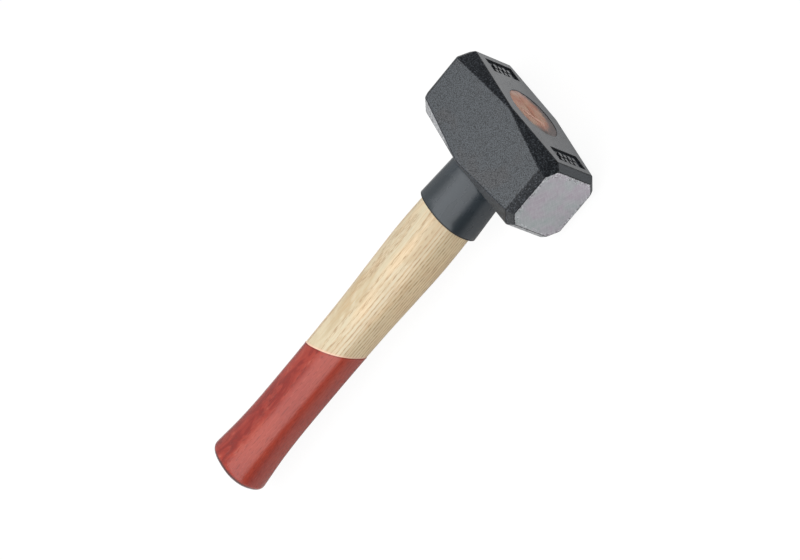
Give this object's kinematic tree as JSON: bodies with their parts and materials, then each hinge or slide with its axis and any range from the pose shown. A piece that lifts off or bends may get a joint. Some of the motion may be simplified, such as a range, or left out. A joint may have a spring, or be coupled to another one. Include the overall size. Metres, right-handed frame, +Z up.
{
  "type": "lump hammer",
  "caption": "Short-handled lump hammer: square forged steel head with ground octagonal faces, oval wooden handle with a flared dipped grip, black neck sleeve and wedged eye.",
  "frame": {"origin": "middle of the lower cheek of the head, the flat side that the hammer lies on", "axes": "+X along the handle towards the crown, -Y and +Y out of the two striking faces, +Z up out of the upper cheek"},
  "size_m": [0.26, 0.1, 0.043],
  "materials": {
    "head_finish": "satin black over a fine cast grain, with bare ground striking faces",
    "handle_wood": "clear varnished ash, with the grip dipped in glossy red lacquer",
    "sleeve_finish": "smooth semi-gloss black",
    "wedge_wood": "red-stained end grain",
    "wedge_steel": "sanded flush, tinted by the stain"
  },
  "bodies": {
    "root": {"hammer_head": "head_finish", "handle": "handle_wood", "handle_sleeve": "sleeve_finish", "wooden_wedge": "wedge_wood", "steel_wedge": "wedge_steel"}
  },
  "joints": []
}
